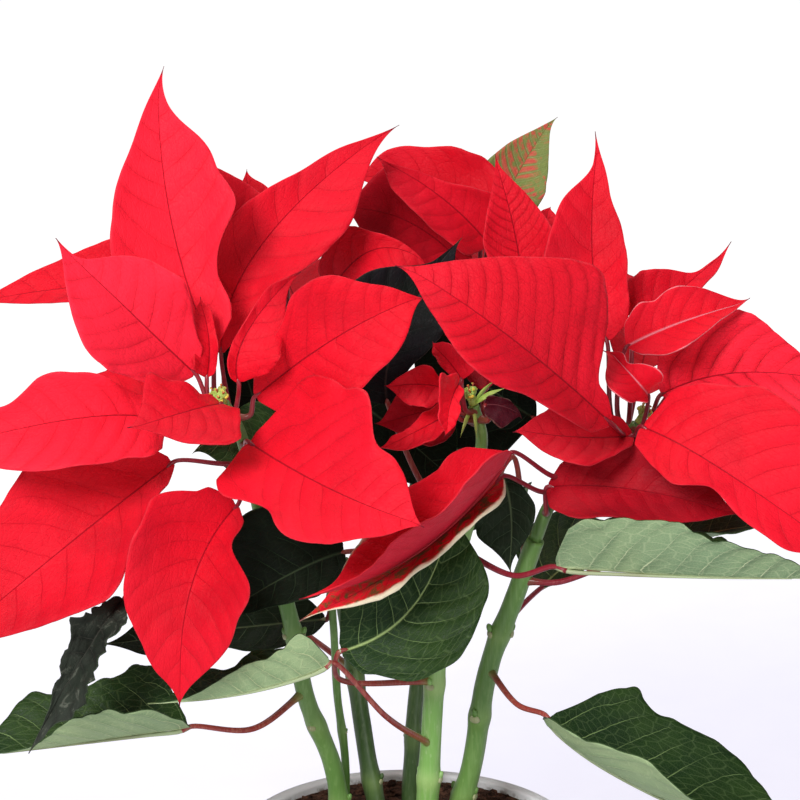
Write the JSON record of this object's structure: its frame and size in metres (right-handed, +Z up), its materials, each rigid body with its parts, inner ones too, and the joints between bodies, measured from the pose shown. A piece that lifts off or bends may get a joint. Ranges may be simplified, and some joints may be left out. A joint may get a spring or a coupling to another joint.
{
  "type": "potted poinsettia",
  "caption": "Red poinsettia with several flowering stems, broad bracts and dark green leaves, in a plain round white pot of soil.",
  "frame": {"origin": "centre of the pot's foot, on the surface that it stands on", "axes": "+Z up, -Y towards the plant's front, +X to its right"},
  "size_m": [0.3678, 0.2764, 0.4392],
  "materials": {
    "pot": "satin",
    "soil": "matte",
    "stem": "satin",
    "bract": "satin",
    "leaf": "satin",
    "flower": "satin"
  },
  "bodies": {
    "root": {"pot": "pot", "soil": "soil", "stem_left": "stem", "stem_back_left": "stem", "stem_back": "stem", "stem_centre": "stem", "stem_right": "stem", "shoot": "stem", "bracts_left": "bract", "flowers_left": "flower", "bracts_centre": "bract", "flowers_centre": "flower", "bracts_right": "bract", "flowers_right": "flower", "bracts_back": "bract", "flowers_back": "flower", "bracts_back_left": "bract", "flowers_back_left": "flower", "leaf_01": "leaf", "leaf_02": "leaf", "leaf_03": "leaf", "leaf_04": "leaf", "leaf_05": "leaf", "leaf_06": "leaf", "leaf_07": "leaf", "leaf_08": "leaf", "leaf_09": "leaf", "leaf_10": "leaf", "leaf_11": "leaf", "leaf_12": "leaf", "leaf_13": "leaf", "leaf_14": "leaf", "leaf_15": "leaf", "leaf_16": "leaf", "leaf_17": "leaf", "leaf_18": "leaf"}
  },
  "joints": []
}
